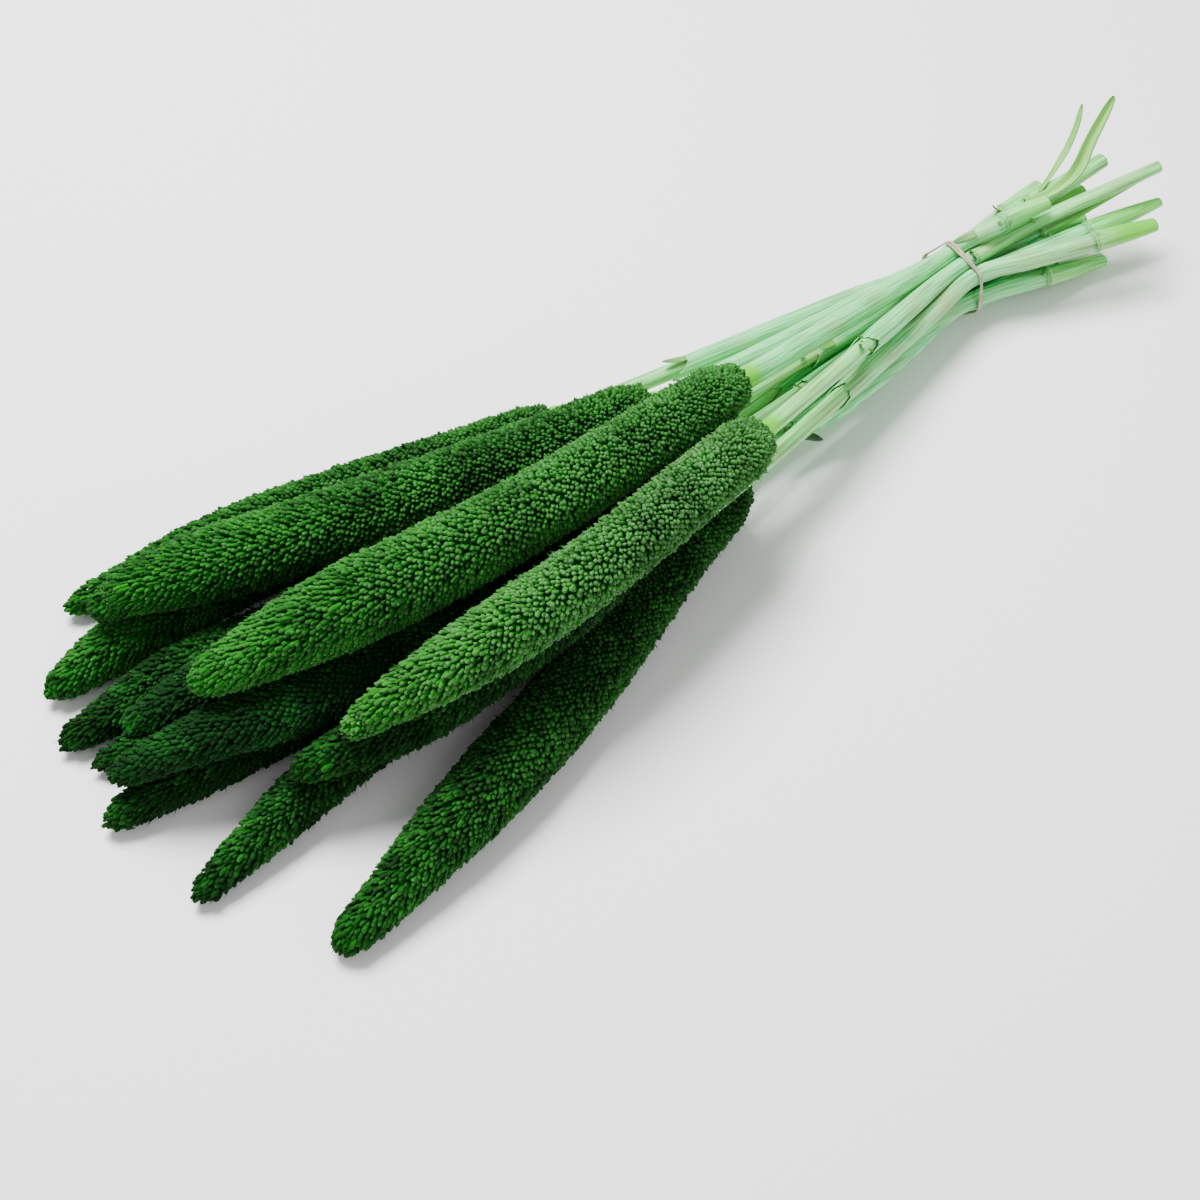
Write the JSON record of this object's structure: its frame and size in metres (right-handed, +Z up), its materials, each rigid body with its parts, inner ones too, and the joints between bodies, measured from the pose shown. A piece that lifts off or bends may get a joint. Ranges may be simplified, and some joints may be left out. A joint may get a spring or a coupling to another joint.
{
  "type": "bunch of millet stalks",
  "caption": "Tied bunch of long-stemmed green millet stalks with thick bristly seed heads, leaf sheaths and a rubber band, lying flat.",
  "frame": {"origin": "middle of the bunch's bounding box, on the surface that it lies on", "axes": "+X along the bunch from the seed heads towards the cut ends of the stems, +Y across the fan of seed heads, +Z up"},
  "size_m": [0.5622, 0.2106, 0.0875],
  "materials": {
    "seed_head": "dense plush of small matt green spikelets, paler at their fronts and nearly black in the gaps",
    "stem": "smooth pale green stalk with fine lengthwise lines and yellowish cut ends",
    "leaf_sheath": "satin pale mint leaf sheath with fine veins, beige mottles and torn dark green mouths",
    "leaf_strip": "dry yellowish green leaf strip with fine veins",
    "rubber_band": "matt beige stretched rubber"
  },
  "bodies": {
    "root": {"leaf_sheath_01": "leaf_sheath", "leaf_sheath_02": "leaf_sheath", "leaf_sheath_03": "leaf_sheath", "leaf_sheath_04": "leaf_sheath", "leaf_sheath_05": "leaf_sheath", "leaf_sheath_06": "leaf_sheath", "leaf_sheath_07": "leaf_sheath", "leaf_sheath_08": "leaf_sheath", "leaf_sheath_09": "leaf_sheath", "leaf_sheath_10": "leaf_sheath", "leaf_sheath_11": "leaf_sheath", "leaf_sheath_12": "leaf_sheath", "leaf_sheath_13": "leaf_sheath", "leaf_strip_1": "leaf_strip", "leaf_strip_2": "leaf_strip", "rubber_band": "rubber_band", "seed_head_01": "seed_head", "seed_head_02": "seed_head", "seed_head_03": "seed_head", "seed_head_04": "seed_head", "seed_head_05": "seed_head", "seed_head_06": "seed_head", "seed_head_07": "seed_head", "seed_head_08": "seed_head", "seed_head_09": "seed_head", "seed_head_10": "seed_head", "seed_head_11": "seed_head", "seed_head_12": "seed_head", "seed_head_13": "seed_head", "stem_01": "stem", "stem_02": "stem", "stem_03": "stem", "stem_04": "stem", "stem_05": "stem", "stem_06": "stem", "stem_07": "stem", "stem_08": "stem", "stem_09": "stem", "stem_10": "stem", "stem_11": "stem", "stem_12": "stem", "stem_13": "stem"}
  },
  "joints": []
}
